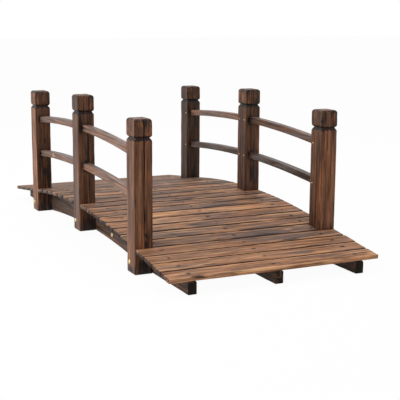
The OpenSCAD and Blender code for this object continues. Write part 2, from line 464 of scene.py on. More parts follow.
def sawnTimberTree(looks):  # bar along X, worn at its edges, raised along the grain, bowed about Y or not
    tree, given = newTree("sawnTimber", (
        ("Geometry", "NodeSocketGeometry"), ("Start", "NodeSocketFloat"), ("End", "NodeSocketFloat"),
        ("Width", "NodeSocketFloat"), ("Height", "NodeSocketFloat"), ("Edge Radius", "NodeSocketFloat"),
        ("Corner Radius", "NodeSocketFloat"), ("Bow Radius", "NodeSocketFloat"),
        ("Raised Grain", "NodeSocketFloat"), ("Edge Wear", "NodeSocketFloat"), ("Rings", "NodeSocketInt"),
        ("Side Step", "NodeSocketFloat"), ("Seed", "NodeSocketFloat"), ("Turn", "NodeSocketVector"),
        ("Place", "NodeSocketVector"), ("Timber", "NodeSocketMaterial")))

    # patterns that the shape follows: ridges of hard grain, and places where an edge is worn
    position = addNode(tree, "GeometryNodeInputPosition").outputs[0]
    normal = addNode(tree, "GeometryNodeInputNormal").outputs[0]
    place = addNode(tree, "ShaderNodeSeparateXYZ", {0: position}).outputs
    grainScale = [1 / (looks["grainLength"] * mm)] + [1 / (looks["grainWidth"] * mm)] * 2
    grainSpot = addNode(tree, "ShaderNodeVectorMath", {0: position, 1: grainScale}, operation="MULTIPLY")
    grain = addNode(tree, "ShaderNodeTexNoise",
                    {"Vector": grainSpot.outputs[0], "W": given["Seed"], "Scale": 1.0,
                     "Detail": looks["grainDetail"]}, noise_dimensions="4D")
    hollow = addNode(tree, "ShaderNodeMapRange",
                     {"Value": grain.outputs[0], "From Min": looks["hollowSpan"][0],
                      "From Max": looks["hollowSpan"][1]})
    bites = addNode(tree, "ShaderNodeTexNoise",
                    {"Vector": position, "W": given["Seed"], "Scale": 1 / (looks["wearLength"] * mm)},
                    noise_dimensions="4D")
    bitten = addNode(tree, "ShaderNodeMapRange",
                     {"Value": bites.outputs[0], "From Min": looks["biteSpan"][0],
                      "From Max": looks["biteSpan"][1]})

    terms = {
        "factor": addNode(tree, "GeometryNodeSplineParameter").outputs["Factor"],
        "x": place["X"], "y": place["Y"], "z": place["Z"],
        "hollow": hollow.outputs[0], "bitten": bitten.outputs[0],
        "normalY": addNode(tree, "ShaderNodeSeparateXYZ", {0: normal}).outputs["Y"],
        "start": given["Start"], "end": given["End"], "width": given["Width"], "height": given["Height"],
        "corner": given["Corner Radius"], "bow": given["Bow Radius"], "raised": given["Raised Grain"],
        "wear": given["Edge Wear"],
    }
    sums = (
        # stations of the rings, drawn together at both ends
        ("fromMiddle", "MULTIPLY_ADD", "factor", 2.0, -1.0),
        ("apart", "ABSOLUTE", "fromMiddle"),
        ("fromTip", "SUBTRACT", 1.0, "apart"),
        ("drawn", "POWER", "fromTip", looks["crowding"]),
        ("spread", "SUBTRACT", 1.0, "drawn"),
        ("way", "SIGN", "fromMiddle"),
        ("share", "MULTIPLY", "spread", "way"),
        ("length", "SUBTRACT", "end", "start"),
        ("half", "MULTIPLY", "length", 0.5),
        ("middle", "ADD", "start", "half"),
        ("station", "MULTIPLY_ADD", "share", "half", "middle"),
        # wear where two long faces meet
        ("absY", "ABSOLUTE", "y"),
        ("insideY", "MULTIPLY_ADD", "width", 0.5, 0.0),
        ("depthY", "SUBTRACT", "insideY", "absY"),
        ("shareY", "MULTIPLY_ADD", "depthY", -1 / (looks["wearSide"] * mm), 1.0),
        ("edgeY", "MAXIMUM", "shareY", 0.0),
        ("absZ", "ABSOLUTE", "z"),
        ("insideZ", "MULTIPLY_ADD", "height", 0.5, 0.0),
        ("depthZ", "SUBTRACT", "insideZ", "absZ"),
        ("shareZ", "MULTIPLY_ADD", "depthZ", -1 / (looks["wearDown"] * mm), 1.0),
        ("edgeZ", "MAXIMUM", "shareZ", 0.0),
        ("edge", "MULTIPLY", "edgeY", "edgeZ"),
        ("bite", "MULTIPLY", "edge", "bitten"),
        # corners rounded in plan at both ends
        ("fromStart", "SUBTRACT", "x", "start"),
        ("fromEnd", "SUBTRACT", "end", "x"),
        ("nearest", "MINIMUM", "fromStart", "fromEnd"),
        ("endShare", "DIVIDE", "nearest", "corner"),
        ("lack", "SUBTRACT", 1.0, "endShare"),
        ("lackHere", "MAXIMUM", "lack", 0.0),
        ("lackSquare", "MULTIPLY", "lackHere", "lackHere"),
        ("chordSquare", "SUBTRACT", 1.0, "lackSquare"),
        ("chord", "SQRT", "chordSquare"),
        ("missing", "SUBTRACT", 1.0, "chord"),
        ("absTurn", "ABSOLUTE", "normalY"),
        ("sideShare", "MULTIPLY_ADD", "absTurn", 1.0 - looks["endDrop"], looks["endDrop"]),
        ("cut", "MULTIPLY", "missing", "sideShare"),
        # how far each point goes in
        ("cutDepth", "MULTIPLY", "cut", "corner"),
        ("withWear", "MULTIPLY_ADD", "bite", "wear", "cutDepth"),
        ("inward", "MULTIPLY_ADD", "hollow", "raised", "withWear"),
        ("outward", "MULTIPLY", "inward", -1.0),
        # bow about the Y axis
        ("angle", "DIVIDE", "x", "bow"),
        ("reach", "ADD", "z", "bow"),
        ("sine", "SINE", "angle"),
        ("cosine", "COSINE", "angle"),
        ("bowX", "MULTIPLY", "reach", "sine"),
        ("bowZ", "MULTIPLY", "reach", "cosine"),
        ("isBowed", "GREATER_THAN", "bow", 0.0),
    )
    for name, operation, *parts in sums:
        values = {i: terms[part] if isinstance(part, str) else part for i, part in enumerate(parts)}
        terms[name] = addNode(tree, "ShaderNodeMath", values, operation=operation).outputs[0]

    # guide line with its rings, and the sawn section with eased edges
    line = addNode(tree, "GeometryNodeCurvePrimitiveLine",
                   {"Start": addNode(tree, "ShaderNodeCombineXYZ", {"X": given["Start"]}).outputs[0],
                    "End": addNode(tree, "ShaderNodeCombineXYZ", {"X": given["End"]}).outputs[0]})
    rings = addNode(tree, "GeometryNodeResampleCurve",
                    {"Curve": line.outputs[0], "Count": given["Rings"]}, mode="COUNT")
    stations = addNode(tree, "ShaderNodeCombineXYZ", {"X": terms["station"]})
    guide = addNode(tree, "GeometryNodeSetPosition",
                    {"Geometry": rings.outputs[0], "Position": stations.outputs[0]})
    section = addNode(tree, "GeometryNodeCurvePrimitiveQuadrilateral",
                      {"Width": given["Width"], "Height": given["Height"]}, mode="RECTANGLE")
    eased = addNode(tree, "GeometryNodeFilletCurve",
                    {"Curve": section.outputs[0], "Count": looks["cornerPoints"],
                     "Radius": given["Edge Radius"], "Limit Radius": True}, mode="POLY")
    stepped = addNode(tree, "GeometryNodeResampleCurve",
                      {"Curve": eased.outputs[0], "Length": given["Side Step"]}, mode="LENGTH")
    bar = addNode(tree, "GeometryNodeCurveToMesh",
                  {"Curve": guide.outputs[0], "Profile Curve": stepped.outputs[0], "Fill Caps": True})

    # surface, then bow, then the place on the bridge
    offset = addNode(tree, "ShaderNodeVectorMath", {0: normal, "Scale": terms["outward"]},
                     operation="SCALE")
    dressed = addNode(tree, "GeometryNodeSetPosition",
                      {"Geometry": bar.outputs[0], "Offset": offset.outputs[0]})
    bent = addNode(tree, "ShaderNodeCombineXYZ", {"X": terms["bowX"], "Y": place["Y"], "Z": terms["bowZ"]})
    either = addNode(tree, "GeometryNodeSwitch",
                     {"Switch": terms["isBowed"], "False": position, "True": bent.outputs[0]},
                     input_type="VECTOR")
    bowed = addNode(tree, "GeometryNodeSetPosition",
                    {"Geometry": dressed.outputs[0], "Position": either.outputs[0]})
    turned = addNode(tree, "GeometryNodeTransform",
                     {"Geometry": bowed.outputs[0], "Translation": given["Place"],
                      "Rotation": given["Turn"]})
    soft = addNode(tree, "GeometryNodeSetShadeSmooth", {"Geometry": turned.outputs[0]})
    endTree(tree, soft.outputs[0], given["Timber"])
    return tree


domeRings = 8  # from pole to pole of a domed head


def headTree(name, isDome):  # a fastener's head on each point, turned the way that the point faces
    tree, given = newTree(name, (
        ("Geometry", "NodeSocketGeometry"), ("Sides", "NodeSocketInt"), ("Foot Radius", "NodeSocketFloat"),
        ("Top Radius", "NodeSocketFloat"), ("Height", "NodeSocketFloat"), ("Metal", "NodeSocketMaterial")))
    if isDome:
        ball = addNode(tree, "GeometryNodeMeshUVSphere",
                       {"Segments": given["Sides"], "Rings": domeRings, "Radius": given["Foot Radius"]})
        flat = addNode(tree, "ShaderNodeMath", {0: given["Height"], 1: given["Foot Radius"]},
                       operation="DIVIDE")
        squash = addNode(tree, "ShaderNodeCombineXYZ", {"X": 1.0, "Y": 1.0, "Z": flat.outputs[0]})
        head = addNode(tree, "GeometryNodeTransform",
                       {"Geometry": ball.outputs[0], "Scale": squash.outputs[0]})
    else:
        head = addNode(tree, "GeometryNodeMeshCone",
                       {"Vertices": given["Sides"], "Radius Top": given["Top Radius"],
                        "Radius Bottom": given["Foot Radius"], "Depth": given["Height"]})
    soft = addNode(tree, "GeometryNodeSetShadeSmooth",
                   {"Geometry": head.outputs[0], "Shade Smooth": isDome})
    facing = addNode(tree, "GeometryNodeInputNamedAttribute", {"Name": "facing"}, data_type="FLOAT_VECTOR")
    turn = addNode(tree, "FunctionNodeAlignRotationToVector", {"Vector": facing.outputs[0]}, axis="Z")
    heads = addNode(tree, "GeometryNodeInstanceOnPoints",
                    {"Points": given["Geometry"], "Instance": soft.outputs[0], "Rotation": turn.outputs[0]})
    endTree(tree, heads.outputs[0], given["Metal"])
    return tree


timberTree = sawnTimberTree(treeLooks)
print("trees built")


# helpers for pieces

sharpAngle = 48  # degrees, edges that turn further show as edges
speckleShifts = (7.3, 3.1, 5.7)  # take each seed to blots of its own
leastDapple = 0.4  # what the lightest blot keeps


def pieceName(kind, key):  # post and left_front give postLeftFront
    return kind + "".join(word.capitalize() for word in key.split("_"))


def addPiece(name, mesh, node=None):  # the piece stands for its CAD node
    mesh.set_sharp_from_angle(angle=math.radians(sharpAngle))
    piece = bpy.data.objects.new(name, mesh)
    bpy.context.scene.collection.objects.link(piece)
    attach(piece, "root")
    if node:
        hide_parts(node)


def sawnBar(name, looks, timber, seed, ends, size, place, turn=(0.0, 0.0, 0.0), bow=0.0):  # worn bar
    return grownMesh(name, timberTree, {
        "Start": ends[0], "End": ends[1], "Width": size[0], "Height": size[1],
        "Edge Radius": looks["edge"] * mm, "Corner Radius": looks["corner"] * mm, "Bow Radius": bow,
        "Raised Grain": looks["grain"] * mm, "Edge Wear": looks["wear"] * mm, "Rings": looks["rings"],
        "Side Step": looks["step"] * mm, "Seed": seed, "Turn": turn, "Place": place, "Timber": timber},
        bpy.data.meshes.new("guide"))


def paint(mesh, seed, finishAt):  # each point's soot, grey film, rubbed wood and tone, which also carry painted shade, sheen and highlights, and the piece's seed
    colours = []
    for vertex in mesh.vertices:
        colours.extend(finishAt(vertex.co, vertex.normal))
    mesh.attributes.new("finish", "FLOAT_COLOR", "POINT").data.foreach_set("color", colours)
    seeds = [seed] * len(mesh.vertices)
    mesh.attributes.new("pieceSeed", "FLOAT", "POINT").data.foreach_set("value", seeds)


def blot(across, along, acrossMid, alongMid, acrossHalf, alongHalf):  # 1 in a mark's middle, 0 at its edge
    far = ((across - acrossMid) / acrossHalf) ** 2 + ((along - alongMid) / alongHalf) ** 2
    return max(1 - far, 0.0)


def speckle(place, size, seed):  # 0 to 1, blots of that size in mm
    shift = Vector([seed * step for step in speckleShifts])
    return 0.5 + 0.5 * noise.noise(place / (size * mm) + shift)


def broken(place, seed, size, shift, low, high):  # such blots, gone below low and full above high
    return smooth(speckle(place, size, seed + shift), low, high)


def dappled(place, seed, size):  # such blots, nowhere quite gone
    return leastDapple + (1 - leastDapple) * speckle(place, size, seed)


# deck boards

boardLooks = {
    "count": 25,
    "edge": 1.4,  # mm, as all sizes here
    "corner": 1.0,
    "wear": 0.6,
    "grain": 0.4,
    "rings": 110,
    "step": 2.3,
    "trim": (0.9, 2.8),  # most that the left and the right end are cut short
    "seatFrom": -0.9,  # a face whose normal points down this far lies on the stringers
    "firstDraw": 100,  # seed of the random draws, to which the board's number is added
    "toneSpan": (0.8, 1.0),  # for boards without a tone or a grey of their own
    # grey film of the other boards, on the far ones also a painted sheen
    "greyAndSheenSpan": (0.35, 0.6),
    "frontSootAndShade": 0.95,  # the side that the flame met: soot, and painted shade in the gap between boards
    "rearSootAndShade": 0.6,
    "rearRub": 1.05,  # edges where feet and tools rubbed the soot off, and a painted highlight on the rear arris
    "frontRub": 0.45,
    "endBand": (1, 3.5),  # from an end, where its soot and grey start to fade and are gone
    "endBlots": 26,
    "sideBand": (0.6, 0.99),  # share of the height where soot and painted shade on the sides start to fade and are gone
    "sootAndShadeFull": 0.4,  # share of the reach of soot and painted shade where it is full
    "sootAndShadeBlots": (90, 9, 0.12, 0.45),  # size, shift of the seed, where blots start and are full
    "rearRubAndHighlightFull": 2,
    "rearRubAndHighlightBlots": (70, 0, 0.35, 0.65),
    "frontRubBand": (9, 2, 8),  # middle, from the front edge, and half width of what is full and of all
    "frontRubBlots": (90, 4, 0.4, 0.7),
    # last board of a stretch, reach of the soot and painted shade from its front edge, of the rubbing and
    # painted highlight from its rear edge, how bold both are, soot and grey on its ends, and number of
    # scattered smoke marks and scuffs
    "stretches": ((4, 5.0, 10.0, 1.0, 0.15, 0.7, 6), (14, 14.0, 17.0, 1.3, 0.15, 0.7, 8),
                  (21, 8.0, 13.0, 1.15, 0.8, 0.3, 8), (25, 3.0, 9.0, 1.0, 1.1, 0.0, 4)),
    # a scattered mark, from and to: middle and half length along, middle and half width across, strength
    "scatter": ((-300, 300), (25, 80), (-22, 22), (5, 13), (0.4, 0.85)),
    "nailLines": (-263.0, 0.0, 263.0),  # across the bridge, over the stringers
    "nailDrift": 3.0,
    "nailStain": (7.5, 9.75),  # half sizes across and along
    "nailSoot": 1.3,
}
# tone and grey of boards that stand out, by number from the rear; the grey of the far boards, 14 and back, is
# grey film and painted sheen
boardTones = {
    25: 1.06, 24: 1.03, 23: 0.95, 22: 0.98, 21: 0.84, 20: 0.9, 19: 0.95, 18: 1.18, 17: 1.22, 16: 0.9,
    15: 1.15, 14: 0.86, 13: 1.08, 12: 0.76, 11: 1.35, 10: 0.56, 9: 1.08, 8: 0.66, 7: 0.9, 6: 0.75, 5: 0.95,
}
boardGreysAndSheen = {
    25: 0.05, 24: 0.15, 23: 0.15, 22: 0.2, 21: 0.32, 20: 0.36, 19: 0.30, 17: 0.15, 16: 0.4, 14: 0.45, 13: 0.3,
    12: 0.5, 11: 0.3, 10: 0.6, 9: 0.3, 8: 0.6,
}
# marks: board, what shows, middle and half length along it, middle and half width across it (mm), strength
soot, grey, rubbedAndHighlight = 0, 1, 2
boardMarks = (
    (25, rubbedAndHighlight, -45, 105, 27, 10, 1.4),
    (25, rubbedAndHighlight, 190, 150, 28, 7, 0.8),
    (25, rubbedAndHighlight, 318, 22, 6, 26, 0.9),
    (25, soot, -243, 34, 25, 11, 1.0),
    (25, grey, 150, 90, -12, 16, 0.7),
    (25, grey, -230, 120, -6, 20, 0.35),
    (24, grey, -240, 110, 4, 24, 0.35),
    (23, grey, -200, 150, 0, 24, 0.3),
    (24, grey, 120, 55, 6, 18, 0.9),
    (24, soot, 120, 30, 8, 9, 0.45),
    (24, soot, 262, 22, 0, 10, 0.45),
    (23, soot, 20, 40, 22, 8, 0.6),
    (22, grey, 170, 190, -4, 22, 0.8),
    (22, soot, 130, 70, 22, 8, 0.75),
    (22, rubbedAndHighlight, 150, 34, 17, 6, 1.5),
    (22, rubbedAndHighlight, -20, 110, 22, 8, 0.35),
    (21, soot, 70, 95, 20, 14, 1.0),
    (21, grey, 40, 220, 4, 24, 0.55),
    (20, soot, -175, 32, 2, 10, 0.95),
    (20, grey, -190, 120, 0, 26, 0.8),
    (19, grey, -20, 110, 2, 20, 0.9),
    (19, soot, 10, 60, 22, 9, 0.6),
    (19, soot, 210, 110, 2, 22, 0.5),
    (18, soot, 60, 30, 2, 7, 0.5),
    (18, rubbedAndHighlight, -160, 120, -5, 18, 0.9),
    (17, rubbedAndHighlight, -150, 130, 0, 20, 0.9),
    (19, rubbedAndHighlight, -190, 100, -16, 10, 0.8),
    (16, rubbedAndHighlight, -150, 110, -14, 10, 0.7),
    (16, soot, 150, 170, 14, 16, 0.8),
    (16, grey, -40, 260, 10, 22, 0.7),
    (15, soot, 230, 110, 16, 14, 0.6),
)


def boardSeat(node):  # middle, slope, width and length of a board, from the flat face that it lies on
    low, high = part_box(node)
    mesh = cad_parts[node].data
    down = [face for face in mesh.polygons if face.normal.z < boardLooks["seatFrom"]]
    normal = sum((face.normal * face.area for face in down), Vector()).normalized()
    corners = [mesh.vertices[i].co for face in down for i in face.vertices]
    tilt = math.atan2(-normal.x, -normal.z)
    along = Vector((math.cos(tilt), 0, -math.sin(tilt)))
    reach = [corner.dot(along) for corner in corners]
    foot = Vector((sum(c.x for c in corners), 0, sum(c.z for c in corners))) / len(corners)
    foot += along * ((min(reach) + max(reach)) / 2 - foot.dot(along))
    thick = max((v.co - foot).dot(-normal) for v in mesh.vertices)
    return {"foot": foot, "tilt": tilt, "along": along, "up": -normal, "thick": thick,
            "width": max(reach) - min(reach), "length": high.y - low.y}


def layBoard(number):
    looks = boardLooks
    name, node = f"deckBoard{number:02d}", f"deck_plank_{number:02d}"
    seat = boardSeat(node)
    seed = float(number)
    halfLength, halfWidth = seat["length"] / 2, seat["width"] / 2
    middle = seat["foot"] + seat["up"] * seat["thick"] / 2
    draw = random.Random(looks["firstDraw"] + number)
    tone = boardTones.get(number, draw.uniform(*looks["toneSpan"]))
    # grey film, on the far boards also a painted sheen
    film = boardGreysAndSheen.get(number, draw.uniform(*looks["greyAndSheenSpan"]))
    stretch = next(row for row in looks["stretches"] if number <= row[0])
    _, sootAndShadeReach, rubAndHighlightReach, bold, endSoot, endGrey, scattered = stretch
    trim = [draw.uniform(0, most) * mm for most in looks["trim"]]
    mesh = sawnBar(name, looks, deckFir, seed, (trim[0] - halfLength, halfLength - trim[1]),
                   (seat["width"], seat["thick"]), tuple(middle), (seat["tilt"], 0.0, math.pi / 2))
    marks = [mark[1:] for mark in boardMarks if mark[0] == number]
    for _ in range(scattered):
        kind = draw.choice((grey, grey, soot, rubbedAndHighlight))
        marks.append((kind, *[draw.uniform(*span) for span in looks["scatter"]]))
    drift = looks["nailDrift"]
    nails = [(draw.uniform(-drift, drift), y + draw.uniform(-drift, drift))  # across and along the board
             for y in looks["nailLines"] if abs(y) * mm < halfLength]
    rubMiddle, rubFull, rubHalf = looks["frontRubBand"]

    def finishAt(place, normal):
        across, along = (place - middle).dot(seat["along"]) / mm, place.y / mm
        rise = (place - middle).dot(seat["up"]) / seat["thick"] + 0.5
        toFront, toRear = halfWidth / mm - across, halfWidth / mm + across
        onEnd = 1 - smooth((halfLength - abs(place.y)) / mm, *looks["endBand"])
        shown = [endSoot * onEnd * dappled(place, seed, looks["endBlots"]), film + endGrey * onEnd, 0.0]
        # the boards' sides dark: soot, and painted shade in the gaps between them
        side = looks["frontSootAndShade"] if across > 0 else looks["rearSootAndShade"]
        if number == looks["count"] and across > 0:
            side = 0.0  # the first board's open edge is worn by every step
        shown[soot] += side * (1 - smooth(rise, *looks["sideBand"]))
        if rise > looks["sideBand"][0]:
            atFront = 1 - smooth(toFront, looks["sootAndShadeFull"] * sootAndShadeReach, sootAndShadeReach)
            atRear = 1 - smooth(toRear, looks["rearRubAndHighlightFull"], rubAndHighlightReach)
            nearFront = 1 - smooth(abs(toFront - rubMiddle), rubFull, rubHalf)
            # soot and painted shade along the front edge, widening the dark line of the gap
            shown[soot] += bold * side * atFront * broken(place, seed, *looks["sootAndShadeBlots"])
            # the rear arris lighter: rubbed wood and a painted highlight where it catches the light
            shown[rubbedAndHighlight] += bold * looks["rearRub"] * atRear * broken(place, seed, *looks["rearRubAndHighlightBlots"])
            shown[rubbedAndHighlight] += looks["frontRub"] * nearFront * broken(place, seed, *looks["frontRubBlots"])
            for kind, alongMid, alongHalf, acrossMid, acrossHalf, strength in marks:
                shown[kind] += strength * blot(across, along, acrossMid, alongMid, acrossHalf, alongHalf)
            for nail in nails:
                shown[soot] += looks["nailSoot"] * blot(across, along, *nail, *looks["nailStain"])
        return (*shown, tone)

    paint(mesh, seed, finishAt)
    addPiece(name, mesh, node)
    top = seat["foot"] + seat["up"] * (seat["thick"] - looks["grain"] * mm)
    return [(top + seat["along"] * nailAcross * mm + Vector((0, nailAlong * mm, 0)), seat["up"])
            for nailAcross, nailAlong in nails]


nailPlaces = []
for number in range(1, boardLooks["count"] + 1):
    nailPlaces += layBoard(number)
print("boards laid:", boardLooks["count"])


# lofted timbers: posts and stringers

quarters = ((1, 1), (-1, 1), (-1, -1), (1, -1))  # signs at the corners of a section, in turn
cornerSteps = 3
wornFrom = (-0.1, 0.7)  # noise where an edge starts to be worn and is worn in full


def ringPoints(halfA, halfB, radius, sideA, sideB):  # rounded rectangle: places and outward ways
    points = []
    for turn, (a, b) in enumerate(quarters):
        middle = Vector((a * (halfA - radius), b * (halfB - radius)))
        for step in range(cornerSteps + 1):
            angle = math.radians(90 * (turn + step / cornerSteps))
            way = Vector((math.cos(angle), math.sin(angle)))
            points.append((middle + way * radius, way))
        count = sideA if turn % 2 == 0 else sideB
        nextA, nextB = quarters[(turn + 1) % 4]
        end = Vector((nextA * (halfA - radius), nextB * (halfB - radius))) + way * radius
        start = points[-1][0]
        for step in range(1, count + 1):
            points.append((start.lerp(end, step / (count + 1)), way))
    return points


def cornerShare(spot, halfA, halfB, band, clear=0):  # 1 where two faces meet, 0 a band away from there
    return (smooth(abs(spot.x), halfA - band, halfA - clear)
            * smooth(abs(spot.y), halfB - band, halfB - clear))


def loftMesh(name, rings, material):  # closed skin over rings of as many points each
    form = bmesh.new()
    rows = [[form.verts.new(point) for point in ring] for ring in rings]
    count = len(rows[0])
    for lower, upper in zip(rows, rows[1:]):
        for i in range(count):
            form.faces.new((lower[i], lower[(i + 1) % count], upper[(i + 1) % count], upper[i]))
    form.faces.new(rows[0][::-1])
    form.faces.new(rows[-1])
    bmesh.ops.recalc_face_normals(form, faces=form.faces)
    for face in form.faces:
        face.smooth = True
    mesh = bpy.data.meshes.new(name)
    form.to_mesh(mesh)
    form.free()
    mesh.materials.append(material)
    return mesh


# rails

railLooks = {
    "edge": 1.4,  # mm, as all sizes here
    "corner": 1.4,
    "swell": 0.6,  # damp timber stands this far out of its sawn size
    "wear": 0.5,
    "grain": 0.25,
    "rings": 72,
    "step": 1.9,
    "firstSeed": 31.0,
    "endSoot": (0.6, 22, 62),  # how much, and where from an end it starts to fade and is gone
    "film": (0.12, 0.25),  # grey all over, and what the top adds: grey film and painted shade
    "knotRub": 1.5,
    "knotTurn": (0.2, 0.6),  # how far out a face must look to show a knot
}
railTones = {"upper_left_rear": 1.08, "upper_left_front": 1.2, "lower_left_rear": 1.15,
             "lower_left_front": 1.45, "upper_right_rear": 1.25, "upper_right_front": 0.7,
             "lower_right_rear": 0.4, "lower_right_front": 0.2}
railKnots = {"lower_left_rear": (-300, 1, 17, 11)}  # middle along and across the outer side, half sizes


def railLine(node):  # arc of a rail, whose middle lies under the crown of the bridge
    low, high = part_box(node)
    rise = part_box("post_left_middle")[0].z
    frontLow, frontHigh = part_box("post_left_front")
    pitch = (frontLow.x + frontHigh.x) / 2
    radius = (pitch ** 2 + rise ** 2) / (2 * rise)  # of the rail's top
    near, far = sorted((abs(low.x), abs(high.x)))
    farAngle = math.asin(far / radius)
    height = high.z - low.z - radius * (math.cos(math.asin(near / radius)) - math.cos(farAngle))
    height /= math.cos(farAngle)
    nearAngle = math.asin(near / (radius - height))
    centreLine = radius - height / 2
    hub = high.z - radius * math.cos(nearAngle)
    way = 1 if high.x > 0 else -1
    ends = sorted((way * nearAngle * centreLine, way * farAngle * centreLine))
    swell = railLooks["swell"] * mm
    return {"node": node, "start": ends[0], "end": ends[1], "radius": centreLine, "hub": hub,
            "y": (low.y + high.y) / 2,
            "half": Vector((0, (high.y - low.y) / 2 + swell, height / 2 + swell)),
            "heightAt": lambda x: hub + math.sqrt(centreLine ** 2 - x ** 2)}


rails = {key: railLine(f"rail_{key}") for key in railTones}


def bendRail(key, seed):
    looks, rail = railLooks, rails[key]
    name = pieceName("rail", key)
    size = (rail["half"].y * 2, rail["half"].z * 2)
    mesh = sawnBar(name, looks, railFir, seed, (rail["start"], rail["end"]), size,
                   (0.0, rail["y"], rail["hub"]), bow=rail["radius"])
    low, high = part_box(rail["node"])
    endSoot, *endBand = looks["endSoot"]
    film, topFilmAndShade = looks["film"]

    def finishAt(place, normal):
        toEnd = min(place.x - low.x, high.x - place.x) / mm
        # the top greyer: grey film and painted shade
        shown = [endSoot * (1 - smooth(toEnd, *endBand)), film + topFilmAndShade * max(normal.z, 0.0), 0.0]
        if key in railKnots:
            offAxis = (place.z - rail["heightAt"](place.x)) / mm
            onSide = smooth(-normal.y, *looks["knotTurn"])
            shown[rubbedAndHighlight] += looks["knotRub"] * blot(place.x / mm, offAxis, *railKnots[key]) * onSide
        return (*shown, railTones[key])

    paint(mesh, seed, finishAt)
    addPiece(name, mesh, rail["node"])


for order, key in enumerate(railTones):
    bendRail(key, railLooks["firstSeed"] + order)
print("rails bent:", len(railTones))


# posts

postLooks = {
    "edge": 1.6,  # mm, as all sizes here
    "swell": 0.6,  # as the rails
    "capHeight": 54.0,
    "capRound": 9.0,
    "grooveDepth": 5.5,
    "grooveFlat": 1.0,
    "shoulder": 9.0,
    "shoulderCurve": 1.25,  # power that the sloping shoulder follows
    "shoulderSteps": 5,
    "roundSteps": 6,
    "ringStep": 6.0,
    "sidePoints": 30,
    "topInsets": (10, 12, 14.5, 17.5, 20.5, 23.5),
    "grain": 0.3,
    "ridge": (4.6, 170, 3.7),  # width and length of raised grain, and how each seed shifts it
    "wear": 0.7,
    "wearBand": 6,
    "bite": (60, 34, 5.1),  # size of worn places across and along, and how each seed shifts them
    "footEase": 1.2,
    "pocketGap": 0.35,  # round a rail's end
    "pocketSteps": 8,
    "boltHeight": 30.0,
    "boltBack": 13.0,  # from the post's middle towards the rear
    "screwOffset": 18.0,
    "firstSeed": 51.0,
}
postFinish = {
    "film": 0.12,
    "sideTurn": (0.5, 0.85),  # sideways turn of a normal, from front to side
    "capToneAndLight": (0, 4),  # above the groove, from the post's tone to the cap's
    "onCap": (0, 8),
    "grooveSoot": 0.95,
    "grooveBands": ((-11, -6), (3, 9)),  # from the groove, where soot begins and where it ends
    "footSootAndShade": ((0.35, (5, 60)), (0.2, (1, 9))),  # soot and painted shade under the deck at the foot: how much, and heights where it starts to fade and is gone
    "edgeBand": (6, 1),
    # upright edges lighter: rubbed wood and a painted highlight on the arrises
    "edgeRubAndHighlight": 0.4,
    "edgeRubAndHighlightBlots": (60, 0, 0.5, 0.75),  # size, shift of the seed, where blots start and are full
    "edgeSoot": 0.4,
    "edgeSootBlots": (80, 5, 0.45, 0.7),
    "rimBand": (10, 1),
    "rimTop": (13, 2),
    "rimUpright": 0.5,  # what a cap's upright edges get of the soot on its top edges
    "rimBlots": (12, 2, 0.28, 0.6),
    "freckles": 0.5,
    "freckleBlots": (9, 3, 0.6, 0.78),
    "capRub": 0.7,
    "capRubBlots": (24, 6, 0.35, 0.65),
    "mortiseSoot": 0.9,  # burnt dark round each rail's end
    "mortiseBand": (2, 16),
    "mortiseBlots": 24,
    # how far a normal must look the way of a face, for a mortise, a mark and a drying check
    "mortiseTurn": 0.7,
    "markTurn": 0.6,
    "checkTurn": 0.3,
}
checkLooks = {
    "slow": (2.2, 70),  # how far a drying check wanders, and over what height
    "quick": (0.8, 19),
    "quickLane": 3,  # keeps the quick wandering apart from the slow
    "fade": (30, 20),  # below and above
    "flatTurn": 0.9,  # only points on the flat of a face are cut
    "soot": 1.2,
}
# drying checks: post, face, middle on the face, from and to height, depth, half width (mm)
postChecks = (
    ("left_front", "front", 3.0, 100, 470, 4.0, 1.7),
    ("left_middle", "front", 9.0, 90, 300, 1.6, 1.5),
    ("right_front", "front", -4.0, 300, 385, 1.8, 1.6),
    ("right_front", "left", 6.0, 60, 250, 1.4, 1.5),
    ("right_middle", "front", -6.0, 110, 380, 2.0, 1.6),
    ("left_rear", "front", -6.0, 150, 300, 1.5, 1.5),
    ("right_rear", "rear", 4.0, 60, 330, 2.0, 1.6),
    ("left_rear", "rear", 5.0, 40, 360, 2.2, 1.7),
)
